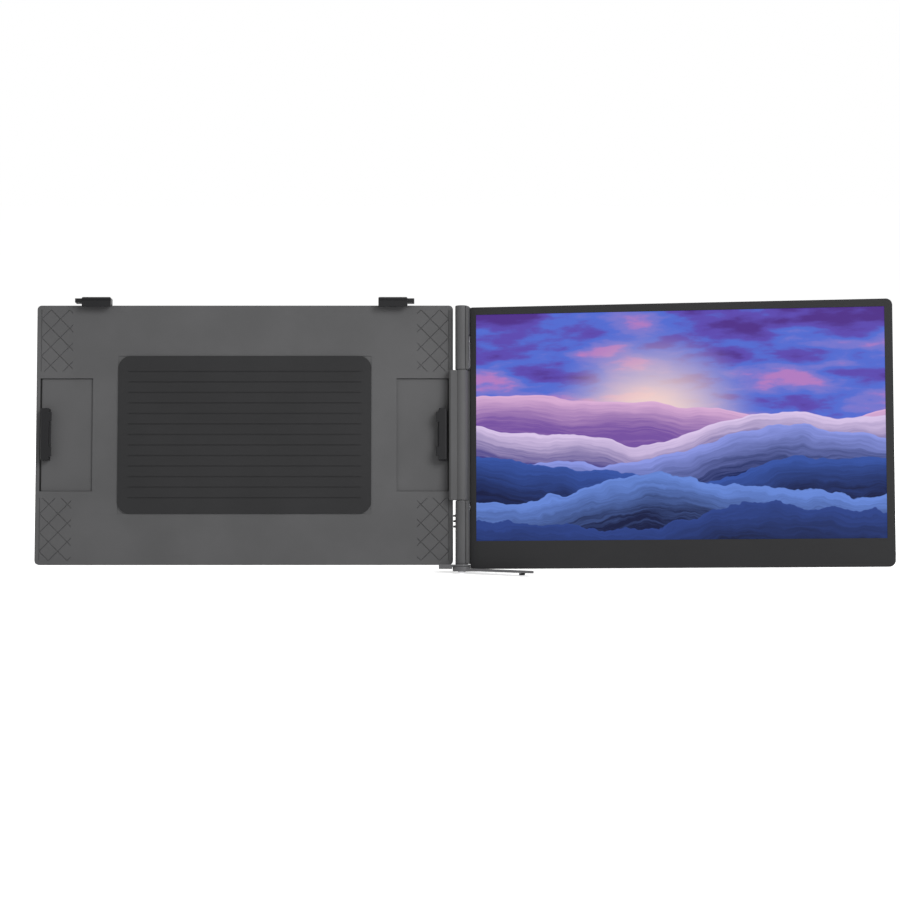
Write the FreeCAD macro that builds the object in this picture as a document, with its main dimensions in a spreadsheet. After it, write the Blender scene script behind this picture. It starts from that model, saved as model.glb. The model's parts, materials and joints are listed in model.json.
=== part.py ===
import FreeCAD, Part
import math
import os

import Sketcher
from FreeCAD import Placement, Rotation, Vector

# A fold-out second screen on a clamping bracket.
# Everything is drawn upright (x right, y away from the viewer, z up along the bracket) with the
# origin on the rest pad, then leaned back. The screen also turns in on its hinge.

SIZES = [
    # how the parts stand
    ("lean_angle", 10.85), ("toe_in", 9.0), ("leg_angle", 18.0),
    # bracket, a flat case of two halves
    ("bracket_width", 395.0), ("bracket_height", 246.5), ("bracket_depth", 9.0),
    ("bracket_corner", 4.0), ("bracket_edge", 1.2), ("panel_thick", 1.8), ("cover_wall", 1.8),
    ("pad_width", 240.0), ("pad_height", 150.0), ("pad_proud", 1.0), ("pad_corner", 12.0),
    ("pad_sink", 0.6), ("rib_pitch", 10.0), ("rib_count", 13.0), ("rib_width", 1.2),
    ("rib_depth", 0.5), ("rib_inset", 10.0),
    # how far an added form runs into the one that it joins, and a cut past the face it leaves
    ("overlap", 0.5), ("cut_spare", 1.0),
    # lattice of crossed grooves on the corners of the front panel
    ("lattice_margin", 4.0), ("lattice_width", 30.0), ("lattice_height", 59.0),
    ("lattice_pitch", 17.7), ("groove_width", 1.0), ("groove_depth", 0.55),
    # screws that hold the bracket together, many-sided to save facets
    ("shank_sides", 8.0), ("head_sides", 12.0), ("hidden_sides", 16.0),
    ("screw_shank", 1.2), ("screw_head", 2.5), ("screw_head_height", 1.1), ("screw_boss", 3.2),
    ("screw_side_inset", 9.5), ("screw_end_inset", 10.0), ("screw_mid_x", 70.0),
    ("block_screw_first", 15.0), ("block_screw_pitch", 25.0),
    # side clamps: slider, clip and its pad
    ("slide_gap", 0.2), ("slider_height", 107.0), ("slider_length", 70.0), ("slider_thick", 2.0),
    ("side_travel", 38.0), ("rail_wall", 3.0), ("window_margin", 3.5), ("window_spare", 2.0),
    ("clip_height", 49.0), ("clip_web", 8.0), ("clip_inset", 5.5), ("lid_slot", 6.5),
    ("lip_thick", 2.0), ("lip_reach", 3.4), ("tab_height", 9.3), ("tab_centre", 16.4),
    ("grip_thick", 1.0), ("grip_clear", 0.2), ("grip_spare", 0.3), ("clip_round", 1.6),
    # top clips: stem, hook, thumb tongue and pad
    ("stem_width", 27.5), ("stem_length", 62.0), ("stem_inset", 57.0), ("top_travel", 30.0),
    ("hook_rise", 6.5), ("hook_gap", 0.6), ("hook_drop", 2.6), ("tongue_length", 6.5),
    ("tongue_height", 4.0), ("tongue_inset", 1.0), ("hook_line_width", 0.6), ("hook_line_depth", 0.5),
    # hinge column
    ("hinge_offset", 8.1), ("hinge_forward", 5.5), ("barrel_radius", 6.0), ("shaft_radius", 2.5),
    ("shaft_clear", 0.05), ("knuckle_top", 60.5), ("knuckle_bottom", 62.5), ("barrel_gap", 0.8),
    ("barrel_top", 121.2), ("barrel_bottom", 122.4), ("knuckle_plate", 11.9), ("knuckle_face", 9.6),
    ("knuckle_bevel", 1.6), ("block_radius", 4.3), ("block_flange", 2.0), ("block_inset", 4.5),
    ("block_web", 4.0), ("fit_gap", 0.1), ("bore_radius", 4.6), ("barrel_wall", 1.5),
    ("leaf_thick", 1.5), ("leaf_length", 45.0), ("leaf_inset", 2.7), ("shaft_root", 40.0),
    ("upper_shaft_reach", 46.0), ("lower_shaft_reach", 10.5), ("upper_leaf_height", 32.0),
    ("lower_leaf_height", 6.0), ("leaf_play", 0.4), ("washer_thick", 0.6), ("washer_pitch", 0.75),
    ("washer_count", 3.0), ("nut_height", 2.4), ("nut_play", 0.2),
    ("nut_radius", 4.0), ("collar_radius", 5.4), ("collar_height", 0.5), ("cap_thick", 0.8),
    ("cap_plug", 4.0), ("column_groove", 0.5), ("groove_reach", 0.8),
    ("seam_gap", 0.3), ("spine_inset", 3.9), ("spine_back", 2.0), ("lip_front", 3.5),
    ("lip_width", 2.8), ("web_inset", 1.0),
    # screen
    ("hinge_reach", 7.4), ("screen_width", 395.0), ("screen_top", 121.2), ("screen_bottom", 127.2),
    ("screen_depth", 9.0), ("screen_corner", 6.0), ("screen_inner_corner", 2.0),
    ("bezel_thick", 1.2), ("shell_wall", 1.5), ("shell_back", 1.6), ("shell_edge", 1.6),
    ("bezel_left", 5.6), ("bezel_right", 7.5), ("bezel_top", 7.3), ("chin", 26.3),
    ("glass_overlap", 1.3), ("glass_thick", 1.0), ("backlight_thick", 1.4), ("frame_thick", 0.5),
    ("board_thick", 1.0), ("board_length", 82.0), ("board_height", 62.0), ("port_centre", 66.0),
    ("port_pitch", 16.0), ("usb_width", 9.0), ("usb_height", 3.2), ("usb_length", 7.3),
    ("usb_round", 1.2), ("hdmi_round", 0.35), ("port_recess", 0.2), ("port_floor", 1.0),
    ("hdmi_width", 11.2), ("port_wall", 0.6), ("port_gap", 0.15), ("speaker_width", 44.0),
    ("speaker_height", 15.0), ("speaker_thick", 4.0), ("speaker_inset", 60.0), ("speaker_gap", 1.0),
    ("grille_pitch", 3.2), ("grille_width", 1.3), ("grille_length", 9.0), ("grille_slots", 11.0),
    ("cable_width", 12.0), ("cable_thick", 0.3), ("shell_panel_inset", 16.0),
    ("shell_line_width", 1.4), ("shell_line_depth", 0.5),
    # three control buttons on the inner side of the lower barrel
    ("button_radius", 1.1), ("button_proud", 2.0), ("button_travel", 0.5), ("button_first", 77.2),
    ("button_pitch", 5.1), ("button_flange", 1.6), ("button_gap", 0.15), ("button_play", 0.2),
    ("button_seat", 0.8), ("button_sides", 16.0), ("switch_play", 0.1), ("switch_board", 1.0),
    ("switch_half", 3.45), ("switch_margin", 2.0),
    # stand leg under the hinge
    ("stand_thick", 2.0), ("stand_left", 13.5), ("stand_back", 1.0), ("ear_radius", 8.6),
    ("ear_clear", 0.4), ("leg_gap", 0.2), ("leg_half", 6.3), ("leg_tip_round", 2.6),
    ("boss_height", 1.8), ("leg_thick", 2.4), ("leg_length", 70.0),
    ("leg_flat", 14.0), ("leg_drop", 2.6), ("leg_tip_width", 6.5), ("pin_radius", 2.0),
    ("pin_head", 3.6), ("pin_head_height", 0.8), ("foot_place", 59.0), ("foot_radius", 2.8),
    ("foot_height", 2.0), ("foot_drop", 0.25),
]


class Size:
    """A length that carries its value and the sheet expression it comes from."""

    def __init__(self, text, value):
        self.text = text
        self.value = value

    def __add__(self, other):
        other = as_size(other)
        return Size("(%s + %s)" % (self.text, other.text), self.value + other.value)

    def __sub__(self, other):
        other = as_size(other)
        return Size("(%s - %s)" % (self.text, other.text), self.value - other.value)

    def __mul__(self, other):
        other = as_size(other)
        return Size("(%s * %s)" % (self.text, other.text), self.value * other.value)

    def __truediv__(self, other):
        other = as_size(other)
        return Size("(%s / %s)" % (self.text, other.text), self.value / other.value)

    def __radd__(self, other):
        return as_size(other) + self

    def __rsub__(self, other):
        return as_size(other) - self

    def __rmul__(self, other):
        return as_size(other) * self

    def __neg__(self):
        return Size("(0 - %s)" % self.text, -self.value)


def as_size(number):
    """Plain numbers become sizes so that both mix in formulas."""
    if isinstance(number, Size):
        return number
    return Size(repr(float(number)), float(number))


doc = FreeCAD.newDocument("screen_extender")
sheet = doc.addObject("Spreadsheet::Sheet", "Sizes")


class Sizes:
    """Every driving dimension by name, each bound to its cell of the sheet."""


for row, (alias, number) in enumerate(SIZES, start=1):
    sheet.set("A%d" % row, alias)
    sheet.set("B%d" % row, str(number))
    sheet.setAlias("B%d" % row, alias)
    setattr(Sizes, alias, Size("Sizes." + alias, number))
doc.recompute()
s = Sizes

# Places that many parts share.
half_width = s.bracket_width / 2
half_height = s.bracket_height / 2
face_y = s.pad_proud
panel_back = face_y + s.panel_thick
bracket_back = face_y + s.bracket_depth
cover_floor = bracket_back - s.cover_wall
hinge_x = half_width + s.hinge_offset
hinge_y = -s.hinge_forward
slider_front = panel_back + s.slide_gap
slider_back = slider_front + s.slider_thick
channel_back = slider_back + s.slide_gap
web_outer = half_width - s.clip_inset
web_inner = web_outer - s.clip_web
lip_back = -s.lid_slot
lip_front = lip_back - s.lip_thick
screen_left = hinge_x + s.hinge_reach
screen_right = screen_left + s.screen_width
screen_back = s.screen_depth
shell_floor = screen_back - s.shell_back
active_left = screen_left + s.bezel_left
active_right = screen_right - s.bezel_right
active_top = s.screen_top - s.bezel_top
active_bottom = s.chin - s.screen_bottom
glass_back = s.bezel_thick + s.glass_thick
light_back = glass_back + s.backlight_thick
frame_back = light_back + s.frame_thick
upper_barrel_low = s.knuckle_top + s.barrel_gap
lower_barrel_high = -(s.knuckle_bottom + s.barrel_gap)
upper_leaf_low = upper_barrel_low + s.barrel_wall + s.leaf_play
lower_leaf_high = lower_barrel_high - s.barrel_wall - s.leaf_play
stand_top = -half_height
stand_bottom = stand_top - s.stand_thick
boss_top = stand_bottom - s.leg_gap
arm_top = boss_top - s.boss_height
arm_bottom = arm_top - s.leg_thick

lean = Placement(Vector(), Rotation(Vector(1, 0, 0), -s.lean_angle.value))


def about_hinge(angle):
    """The lean, after a turn of the piece by an angle about the hinge axis."""
    centre = Vector(hinge_x.value, hinge_y.value, 0)
    turn = Rotation(Vector(0, 0, 1), angle)
    return lean * Placement(centre, turn) * Placement(-centre, Rotation())


ON_BRACKET = lean
ON_SCREEN = about_hinge(-s.toe_in.value)
ON_LEG = about_hinge(-s.leg_angle.value)

sub_parts = []


def keep(piece, name, place):
    """Names a finished sub-part and puts it in its place."""
    piece.Label = name
    piece.Placement = place
    sub_parts.append(piece)
    return piece


def new_body(name, place):
    """An empty body that will be one sub-part."""
    body = doc.addObject("PartDesign::Body", name)
    return keep(body, name, place)


# Sketch planes by the axis that they face. Depth is measured along that axis.
PLANES = {"x": "YZ_Plane", "y": "XZ_Plane", "z": "XY_Plane"}


def new_sketch(body, axis, depth):
    """A sketch across an axis of the body, at a depth along it."""
    sketch = body.newObject("Sketcher::SketchObject", body.Name + "_sketch")
    plane = [item for item in body.Origin.OriginFeatures if item.Role == PLANES[axis]][0]
    sketch.AttachmentSupport = [(plane, "")]
    sketch.MapMode = "FlatFace"
    offset = -depth if axis == "y" else depth
    sketch.setExpression("AttachmentOffset.Base.z", offset.text)
    sketch.AttachmentOffset = Placement(Vector(0, 0, offset.value), Rotation())
    return sketch


def pin_point(sketch, index, place, across, up):
    """Fixes one point of a sketch by its two distances from the origin."""
    for kind, size in (("DistanceX", across), ("DistanceY", up)):
        size = as_size(size)
        number = sketch.addConstraint(Sketcher.Constraint(kind, -1, 1, index, place, size.value))
        sketch.setExpression("Constraints[%d]" % number, size.text)


def outline(sketch, points):
    """A closed outline of straight lines through the given points."""
    points = [(as_size(across), as_size(up)) for across, up in points]
    first = sketch.GeometryCount
    count = len(points)
    spots = [Vector(across.value, up.value, 0) for across, up in points]
    for index in range(count):
        line = Part.LineSegment(spots[index], spots[(index + 1) % count])
        sketch.addGeometry(line, False)
    for index in range(count):
        following = first + (index + 1) % count
        sketch.addConstraint(Sketcher.Constraint("Coincident", first + index, 2, following, 1))
    for index, (across, up) in enumerate(points):
        pin_point(sketch, first + index, 1, across, up)


def rectangle(sketch, left, right, low, high):
    """A rectangle between two pairs of sizes."""
    outline(sketch, [(left, low), (right, low), (right, high), (left, high)])


def circle(sketch, across, up, radius):
    """A circle with its centre and radius fixed."""
    across, up, radius = as_size(across), as_size(up), as_size(radius)
    centre = Vector(across.value, up.value, 0)
    index = sketch.addGeometry(Part.Circle(centre, Vector(0, 0, 1), radius.value), False)
    number = sketch.addConstraint(Sketcher.Constraint("Radius", index, radius.value))
    sketch.setExpression("Constraints[%d]" % number, radius.text)
    pin_point(sketch, index, 3, across, up)


def turns(sides):
    """Cosine and sine of each corner of a regular many-sided outline."""
    count = int(sides.value)
    angles = [math.pi * (2 * corner + 1) / count for corner in range(count)]
    return [(math.cos(angle), math.sin(angle)) for angle in angles]


def many_sided(sketch, across, up, radius, sides):
    """A regular outline with its corners on a circle."""
    outline(sketch, [(across + radius * run, up + radius * rise) for run, rise in turns(sides)])


def pad(body, axis, low, high, draw):
    """Adds a drawn section between two depths along an axis."""
    low, high = as_size(low), as_size(high)
    sketch = new_sketch(body, axis, high if axis == "y" else low)
    draw(sketch)
    feature = body.newObject("PartDesign::Pad", body.Name + "_pad")
    feature.Profile = sketch
    feature.setExpression("Length", (high - low).text)
    doc.recompute()
    return feature


def pocket(body, axis, low, high, draw):
    """Cuts a drawn section between two depths along an axis, and checks that it cut."""
    low, high = as_size(low), as_size(high)
    before = body.Shape.Volume
    sketch = new_sketch(body, axis, low if axis == "y" else high)
    draw(sketch)
    feature = body.newObject("PartDesign::Pocket", body.Name + "_pocket")
    feature.Profile = sketch
    feature.setExpression("Length", (high - low).text)
    doc.recompute()
    if body.Shape.Volume > before - 1e-6:
        raise ValueError("a pocket of %s cut nothing" % body.Label)
    return feature


def edges_where(shape, test):
    """The names of the edges whose two ends pass a test."""
    names = []
    for number, edge in enumerate(shape.Edges, start=1):
        ends = [vertex.Point for vertex in edge.Vertexes]
        if len(ends) == 2 and test(ends[0], ends[1]):
            names.append("Edge%d" % number)
    return names


def same(first, second):
    """Two measures that agree to a hundredth of a millimetre."""
    return abs(first - second) < 0.01


def along(axis, a, b):
    """Whether a straight edge from a to b runs along one axis."""
    others = [name for name in "xyz" if name != axis]
    level = all(same(getattr(a, name), getattr(b, name)) for name in others)
    return level and not same(getattr(a, axis), getattr(b, axis))


def dress(body, kind, radius, test):
    """Rounds or bevels the edges of the body that pass a test."""
    base = body.Tip
    names = edges_where(base.Shape, test)
    if not names:
        raise ValueError("no edge of %s passes the test" % body.Label)
    feature = body.newObject("PartDesign::" + kind, body.Name + "_" + kind.lower())
    feature.Base = (base, names)
    feature.setExpression("Radius" if kind == "Fillet" else "Size", as_size(radius).text)
    doc.recompute()
    return feature


def slab(name, place, axis, low, high, box):
    """A body that starts as one rectangular plate; box is left, right, low, high."""
    body = new_body(name, place)
    pad(body, axis, low, high, lambda sketch: rectangle(sketch, *box))
    return body


def drum(name, place, low, high, radius, centre=None):
    """A body that starts as one upright cylinder, on the hinge axis unless told otherwise."""
    across, deep = centre or (hinge_x, hinge_y)
    body = new_body(name, place)
    pad(body, "z", low, high, lambda sketch: circle(sketch, across, deep, radius))
    return body


def solids_part(name, place, solids):
    """A sub-part of several like solids."""
    piece = doc.addObject("Part::Feature", name)
    piece.Shape = Part.makeCompound(solids)
    return keep(piece, name, place)


def prism(spot, axis, length, radius, sides):
    """A many-sided bar that runs from a spot along one axis."""
    corners = []
    for run, rise in turns(sides):
        run, rise = run * radius, rise * radius
        step = {"x": (0, run, rise), "y": (run, 0, rise), "z": (run, rise, 0)}[axis]
        corners.append(spot + Vector(*step))
    way = {"x": Vector(length, 0, 0), "y": Vector(0, length, 0), "z": Vector(0, 0, length)}[axis]
    return Part.Face(Part.makePolygon(corners + corners[:1])).extrude(way)


def screw(spot, axis, length):
    """A screw driven against an axis; spot is the outer face of its head."""
    head = prism(spot, axis, -s.screw_head_height.value, s.screw_head.value, s.head_sides)
    shank = prism(spot, axis, -length.value, s.screw_shank.value, s.shank_sides)
    return head.fuse(shank)


def shank_hole(across, up):
    """Draws the hole that a screw's shank fills."""
    return lambda sketch: many_sided(sketch, across, up, s.screw_shank, s.shank_sides)


# Bracket

def bracket_screw_spots():
    """Across and up of the screws that join the cover to the front panel."""
    side = half_width - s.screw_side_inset
    end = half_height - s.screw_end_inset
    return [(across, up) for across in (side, s.screw_mid_x, -s.screw_mid_x, -side)
            for up in (end, -end)]


def block_screw_heights():
    """Heights of the four screws through the flange of the hinge block."""
    spots = (s.block_screw_first, s.block_screw_first + s.block_screw_pitch)
    return [side * up for side in (1, -1) for up in spots]


block_screw_depth = face_y + s.bracket_depth / 2


def mirrored(side, near, far):
    """A pair of distances from the middle, in rising order on either side."""
    return (near, far) if side > 0 else (-far, -near)


window_outer = half_width - s.window_margin
window_inner = web_inner - s.side_travel - s.window_spare
slider_half = s.slider_height / 2
channel_half = slider_half + s.slide_gap
slider_outer = web_outer + s.overlap
stem_half = s.stem_width / 2
stem_centre = half_width - s.stem_inset
stem_low = half_height - s.stem_length
lattice_zones = []
for zone_side in (1, -1):
    for zone_end in (1, -1):
        lattice_zones.append((zone_side, zone_end))


def lattice_groove(zone_side, zone_end):
    """V grooves that cross at right angles inside one corner zone, with a straight edge groove."""
    margin, width, height = s.lattice_margin.value, s.lattice_width.value, s.lattice_height.value
    outer, top = half_width.value - margin, half_height.value - margin
    front, half = face_y.value, s.groove_width.value / 2
    deep = s.groove_depth.value
    reach = 2 * (width + height)
    profile = [Vector(-half, 0, 0), Vector(half, 0, 0), Vector(0, deep, 0), Vector(-half, 0, 0)]
    bar = Part.Face(Part.makePolygon(profile)).extrude(Vector(0, 0, reach))
    bar.translate(Vector(0, 0, -reach / 2))
    zone = Part.makeBox(width, deep * 2, height, Vector(outer - width, front - deep / 2, top - height))
    tools = []
    count = int((width + height) / s.lattice_pitch.value) + 1
    for tilt in (45, -45):
        for step in range(-count, count + 1):
            groove = bar.copy()
            groove.rotate(Vector(), Vector(0, 1, 0), tilt)
            rise = step * s.lattice_pitch.value
            groove.translate(Vector(outer, front, top - s.lattice_pitch.value / 2 + rise))
            groove = groove.common(zone)
            if groove.Solids:
                tools += groove.Solids
    edge = Part.Face(Part.makePolygon(profile)).extrude(Vector(0, 0, height))
    edge.translate(Vector(outer, front, top - height))
    tools.append(edge)
    tool = tools[0].fuse(tools[1:])
    if zone_side < 0:
        tool = tool.mirror(Vector(), Vector(1, 0, 0))
    if zone_end < 0:
        tool = tool.mirror(Vector(), Vector(0, 0, 1))
    return tool


def front_panel():
    """The front plate, with slider windows and crossed grooves in its corners."""
    body = slab("front_panel_plate", Placement(), "y", face_y, panel_back,
                (-half_width, half_width, -half_height, half_height))
    sub_parts.remove(body)
    dress(body, "Fillet", s.bracket_corner, lambda a, b: along("y", a, b))
    for side in (1, -1):
        left, right = mirrored(side, window_inner, window_outer)
        pocket(body, "y", face_y, panel_back,
               lambda sketch: rectangle(sketch, left, right, -channel_half, channel_half))
    for across, up in bracket_screw_spots():
        pocket(body, "y", panel_back - s.panel_thick / 2, panel_back, shank_hole(across, up))
    pad_hole = (s.pad_width / 2, s.pad_height / 2)
    pocket(body, "y", face_y, face_y + s.pad_sink,
           lambda sketch: rectangle(sketch, -pad_hole[0], pad_hole[0], -pad_hole[1], pad_hole[1]))
    tool = doc.addObject("Part::Feature", "lattice_tool")
    cuts = [lattice_groove(side, end) for side, end in lattice_zones]
    tool.Shape = Part.makeCompound(cuts)
    panel = doc.addObject("Part::Cut", "front_panel")
    panel.Base = body
    panel.Tool = tool
    doc.recompute()
    keep(panel, "front_panel", ON_BRACKET)


def rear_cover():
    """The tray that closes the bracket from behind, with screw bosses and stem slots."""
    body = slab("rear_cover", ON_BRACKET, "y", panel_back, bracket_back,
                (-half_width, half_width, -half_height, half_height))
    dress(body, "Fillet", s.bracket_corner, lambda a, b: along("y", a, b))
    rear = bracket_back.value
    dress(body, "Chamfer", s.bracket_edge, lambda a, b: same(a.y, rear) and same(b.y, rear))
    wide, tall = half_width - s.cover_wall, half_height - s.cover_wall
    pocket(body, "y", panel_back, cover_floor,
           lambda sketch: rectangle(sketch, -wide, wide, -tall, tall))
    spots = bracket_screw_spots()
    for across, up in spots:
        pad(body, "y", panel_back, cover_floor + s.overlap,
            lambda sketch: rectangle(sketch, across - s.screw_boss, across + s.screw_boss,
                                     up - s.screw_boss, up + s.screw_boss))
    for across, up in spots:
        pocket(body, "y", panel_back, bracket_back, shank_hole(across, up))
        pocket(body, "y", bracket_back - s.screw_head_height, bracket_back,
               lambda sketch: many_sided(sketch, across, up, s.screw_head, s.head_sides))
    for side in (1, -1):
        left, right = mirrored(side, stem_centre - stem_half - s.slide_gap,
                               stem_centre + stem_half + s.slide_gap)
        pocket(body, "z", tall, half_height,
               lambda sketch: rectangle(sketch, left, right, panel_back, channel_back))
    for up in block_screw_heights():
        pocket(body, "x", wide, half_width, shank_hole(block_screw_depth, up))
    outer_x, outer_z = half_width - s.shell_panel_inset, half_height - s.shell_panel_inset
    inner_x, inner_z = outer_x - s.shell_line_width, outer_z - s.shell_line_width

    def frame_line(sketch):
        rectangle(sketch, -outer_x, outer_x, -outer_z, outer_z)
        rectangle(sketch, -inner_x, inner_x, -inner_z, inner_z)

    pocket(body, "y", bracket_back - s.shell_line_depth, bracket_back, frame_line)


def lid_pad():
    """The silicone sheet in the front panel, ribbed by shallow grooves across it."""
    wide, tall = s.pad_width / 2, s.pad_height / 2
    body = slab("lid_pad", ON_BRACKET, "y", 0, face_y + s.pad_sink, (-wide, wide, -tall, tall))
    dress(body, "Fillet", s.pad_corner, lambda a, b: along("y", a, b))
    reach = wide - s.rib_inset

    def grooves(sketch):
        for count in range(int(s.rib_count.value)):
            middle = s.rib_pitch * (count - (s.rib_count - 1) / 2)
            rectangle(sketch, -reach, reach, middle - s.rib_width / 2, middle + s.rib_width / 2)

    pocket(body, "y", 0, s.rib_depth, grooves)


def side_guides():
    """Channels that the side sliders run in, fixed to the floor of the cover."""
    for side, name in ((-1, "left_guide"), (1, "right_guide")):
        inner = slider_outer - s.slider_length - s.side_travel - s.rail_wall
        left, right = mirrored(side, inner, half_width - s.cover_wall)
        half = channel_half + s.rail_wall
        body = slab(name, ON_BRACKET, "y", panel_back, cover_floor, (left, right, -half, half))
        left, right = mirrored(side, inner + s.rail_wall, half_width - s.cover_wall)
        pocket(body, "y", panel_back, channel_back,
               lambda sketch: rectangle(sketch, left, right, -channel_half, channel_half))


def top_guides():
    """Channels that the stems of the top clips run in."""
    for side, name in ((-1, "left_top_guide"), (1, "right_top_guide")):
        half = stem_half + s.slide_gap
        left, right = mirrored(side, stem_centre - half - s.rail_wall,
                               stem_centre + half + s.rail_wall)
        top = half_height - s.cover_wall
        body = slab(name, ON_BRACKET, "y", panel_back, cover_floor,
                    (left, right, stem_low - s.rail_wall, top))
        left, right = mirrored(side, stem_centre - half, stem_centre + half)
        pocket(body, "y", panel_back, channel_back,
               lambda sketch: rectangle(sketch, left, right, stem_low - s.slide_gap, top))


def bracket_screws():
    """Eight screws, driven from behind."""
    length = s.bracket_depth - s.panel_thick / 2
    solids = [screw(Vector(across.value, bracket_back.value, up.value), "y", length)
              for across, up in bracket_screw_spots()]
    solids_part("bracket_screws", ON_BRACKET, solids)


# Clamps

def side_clamp(side, word):
    """One slider with its clip and grip pad."""
    left, right = mirrored(side, slider_outer - s.slider_length, slider_outer)
    body = slab(word + "_slider", ON_BRACKET, "y", slider_front, slider_back,
                (left, right, -slider_half, slider_half))
    dress(body, "Fillet", s.clip_round, lambda a, b: along("y", a, b))
    half = s.clip_height / 2
    left, right = mirrored(side, web_inner, web_outer)
    clip = slab(word + "_clip", ON_BRACKET, "y", lip_front, slider_front, (left, right, -half, half))
    tip = web_inner - s.lip_reach + s.grip_thick
    left, right = mirrored(side, tip, web_inner + s.overlap)

    def tabs(sketch):
        for end in (1, -1):
            middle = s.tab_centre * end
            rectangle(sketch, left, right, middle - s.tab_height / 2, middle + s.tab_height / 2)

    outer = (side * web_outer).value
    pad(clip, "y", lip_front, lip_back, tabs)
    dress(clip, "Fillet", s.clip_round,
          lambda a, b: same(a.x, outer) and same(b.x, outer) and along("z", a, b)
          and a.y < 0 or along("y", a, b) and same(a.x, outer))
    left, right = mirrored(side, web_inner - s.grip_thick, web_inner)
    inner = s.tab_centre - s.tab_height / 2 - s.grip_spare
    slab(word + "_grip", ON_BRACKET, "y", lip_back + s.grip_clear, -s.grip_clear,
         (left, right, -inner, inner))


def top_clip(side, word):
    """One stem with its hook, thumb tongue and the pad under the hook."""
    left, right = mirrored(side, stem_centre - stem_half, stem_centre + stem_half)
    slab(word + "_stem", ON_BRACKET, "y", slider_front, slider_back,
         (left, right, stem_low, half_height + s.hook_gap))
    low = half_height + s.hook_gap
    high = half_height + s.hook_gap + s.hook_rise
    hook = slab(word + "_hook", ON_BRACKET, "z", low, high, (left, right, lip_front, channel_back))
    pad(hook, "y", lip_front, lip_back,
        lambda sketch: rectangle(sketch, left, right, low - s.hook_drop, low + s.overlap))
    tongue = mirrored(side, stem_centre + stem_half - s.overlap,
                      stem_centre + stem_half + s.tongue_length)
    middle = (low + high) / 2
    pad(hook, "y", lip_front + s.tongue_inset, channel_back - s.tongue_inset,
        lambda sketch: rectangle(sketch, tongue[0], tongue[1], middle - s.tongue_height / 2,
                                 middle + s.tongue_height / 2))
    pocket(hook, "y", lip_front, lip_front + s.hook_line_depth,
           lambda sketch: rectangle(sketch, left, right, middle, middle + s.hook_line_width))
    top = high.value
    dress(hook, "Chamfer", s.clip_round / 2,
          lambda a, b: same(a.z, top) and same(b.z, top))
    slab(word + "_top_pad", ON_BRACKET, "z", low - s.grip_thick, low,
         (left, right, lip_back + s.grip_clear, face_y - s.grip_clear))


# Hinge column

def knuckle_outline(sketch):
    """The raised plate that runs into the round of the hinge."""
    plate_left = hinge_x - s.knuckle_plate
    front = -s.knuckle_face
    outline(sketch, [(plate_left, face_y), (plate_left, front + s.knuckle_bevel),
                     (plate_left + s.knuckle_bevel, front), (hinge_x, front),
                     (hinge_x, face_y)])


def hinge_block_outline(sketch):
    """Flange on the bracket's side wall, arm and shaft seat of the cast block."""
    flange = half_width + s.block_flange
    arm_back = hinge_y + s.block_web / 2
    outline(sketch, [(half_width, cover_floor), (half_width, hinge_y - s.block_web / 2),
                     (hinge_x, hinge_y - s.block_web / 2), (hinge_x, arm_back),
                     (flange, arm_back), (flange, cover_floor)])


def knuckle():
    """The fixed middle of the column: cast block and its moulded cover."""
    low, high = -s.knuckle_bottom, s.knuckle_top
    inset_low, inset_high = low + s.block_inset, high - s.block_inset
    cover = drum("knuckle_cover", ON_BRACKET, low, high, s.barrel_radius)
    pad(cover, "z", low, high, knuckle_outline)
    bottom, top = low - s.collar_height, high + s.collar_height
    for start, end in ((bottom, low), (high, top)):
        pad(cover, "z", start, end,
            lambda sketch: many_sided(sketch, hinge_x, hinge_y, s.collar_radius, s.hidden_sides))
    block = new_body("hinge_block", ON_BRACKET)
    pad(block, "z", inset_low, inset_high, hinge_block_outline)
    pad(block, "z", inset_low, inset_high,
        lambda sketch: circle(sketch, hinge_x, hinge_y, s.block_radius))
    pocket(block, "z", inset_low, inset_high,
           lambda sketch: circle(sketch, hinge_x, hinge_y, s.shaft_radius))
    gap = s.fit_gap
    web = s.block_web / 2 + gap
    pocket(cover, "z", inset_low - gap, inset_high + gap,
           lambda sketch: circle(sketch, hinge_x, hinge_y, s.block_radius + gap))
    pocket(cover, "z", inset_low - gap, inset_high + gap,
           lambda sketch: rectangle(sketch, half_width - gap, hinge_x, hinge_y - web, hinge_y + web))
    pocket(cover, "z", inset_low - gap, inset_high + gap,
           lambda sketch: rectangle(sketch, half_width - gap, half_width + s.block_flange + gap,
                                    hinge_y - web, face_y))
    pocket(cover, "z", bottom, top,
           lambda sketch: circle(sketch, hinge_x, hinge_y, s.shaft_radius + gap))
    flange = half_width + s.block_flange
    solids = []
    for up in block_screw_heights():
        pocket(block, "x", half_width, flange, shank_hole(block_screw_depth, up))
        outer = flange + s.screw_head_height
        spot = Vector(outer.value, block_screw_depth.value, up.value)
        solids.append(screw(spot, "x", outer - half_width + s.cover_wall))
    solids_part("hinge_block_screws", ON_BRACKET, solids)


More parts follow.
